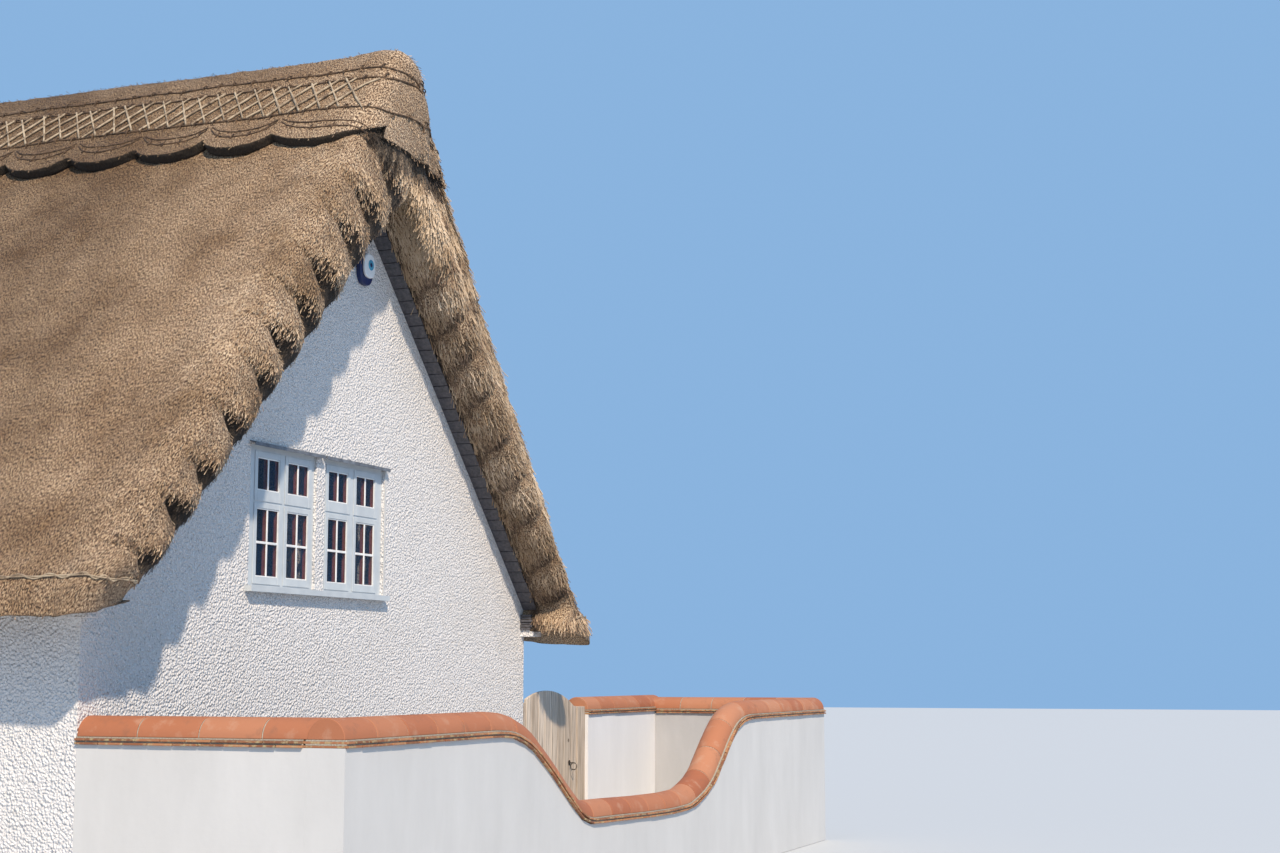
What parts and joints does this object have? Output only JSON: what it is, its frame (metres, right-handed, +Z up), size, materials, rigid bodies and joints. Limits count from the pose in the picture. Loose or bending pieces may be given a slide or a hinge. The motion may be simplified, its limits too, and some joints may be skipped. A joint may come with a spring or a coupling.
{
  "type": "thatched cottage",
  "caption": "Rendered cottage under a steep thatched roof with a scalloped ridge, gable casements and a walled front yard with an arched board gate.",
  "frame": {"origin": "on the ground under the middle of the thickness of the front gable wall, below the ridge", "axes": "+X runs across the gable to the right, seen from the yard; +Y runs back along the ridge; +Z is up"},
  "size_m": [10.229, 11.579, 6.293],
  "materials": {
    "pebbledash": "white painted pebbledash render, rough and matt",
    "floor_stone": "matt stone flags",
    "floor_wood": "plain dark boards",
    "thatch": "weathered straw, matt",
    "slate": "dark grey-brown slate, matt",
    "painted_wood": "blue-grey gloss paint on wood",
    "window_glass": "clear window glass",
    "lead": "dull grey lead sheet",
    "door_paint": "blue-grey paint on planks",
    "alarm_plastic": "white moulded plastic",
    "yard_render": "smooth white painted render",
    "creasing_tile": "clay creasing tiles in grey mortar",
    "terracotta": "unglazed orange-red clay",
    "weathered_oak": "bare boards weathered to grey",
    "iron": "dark wrought iron, worn"
  },
  "bodies": {
    "cottage": {"front_gable_wall": "pebbledash", "rear_gable_wall": "pebbledash", "left_wall": "pebbledash", "right_wall": "pebbledash", "ground_floor": "floor_stone", "upper_floor": "floor_wood", "thatch_left": "thatch", "thatch_right": "thatch", "ridge_cap": "thatch", "front_undercloak": "slate", "rear_undercloak": "slate", "front_left_window_frame": "painted_wood", "front_right_window_frame": "painted_wood", "rear_left_window_frame": "painted_wood", "rear_right_window_frame": "painted_wood", "front_window_sill": "painted_wood", "rear_window_sill": "painted_wood", "left_window_1_frame": "painted_wood", "left_window_2_frame": "painted_wood", "right_window_1_frame": "painted_wood", "door_frame": "painted_wood", "front_left_window_glass": "window_glass", "front_right_window_glass": "window_glass", "rear_left_window_glass": "window_glass", "rear_right_window_glass": "window_glass", "left_window_1_glass": "window_glass", "left_window_2_glass": "window_glass", "right_window_1_glass": "window_glass", "front_left_flashing": "lead", "front_right_flashing": "lead", "door_leaf": "door_paint", "alarm_box": "alarm_plastic", "yard_front_wall": "yard_render", "yard_left_wall": "yard_render", "yard_right_wall": "yard_render", "yard_back_wall": "yard_render", "yard_front_creasing": "creasing_tile", "yard_left_creasing": "creasing_tile", "yard_right_creasing": "creasing_tile", "yard_back_creasing": "creasing_tile", "yard_front_coping": "terracotta", "yard_left_coping": "terracotta", "yard_right_coping": "terracotta", "yard_back_coping": "terracotta", "gate_hanging_post": "weathered_oak", "gate_latch_post": "weathered_oak", "gate_lower_pintle": "iron", "gate_upper_pintle": "iron"},
    "gate": {"gate_boards": "weathered_oak", "gate_ledges": "weathered_oak", "gate_lower_strap": "iron", "gate_upper_strap": "iron", "gate_ring_plate": "iron"},
    "gate_ring": {"gate_ring": "iron"}
  },
  "joints": [
    {"name": "gate_hinge", "type": "hinge", "parent": "cottage", "child": "gate", "pos_m": [3.194, -0.0644, 0.3], "axis": [0, 0, 1], "range_deg": [0, 90]},
    {"name": "gate_ring_turn", "type": "hinge", "parent": "gate", "child": "gate_ring", "pos_m": [4.18, -0.15, 0.836], "axis": [0, 1, 0], "range_deg": [-45, 45]}
  ]
}
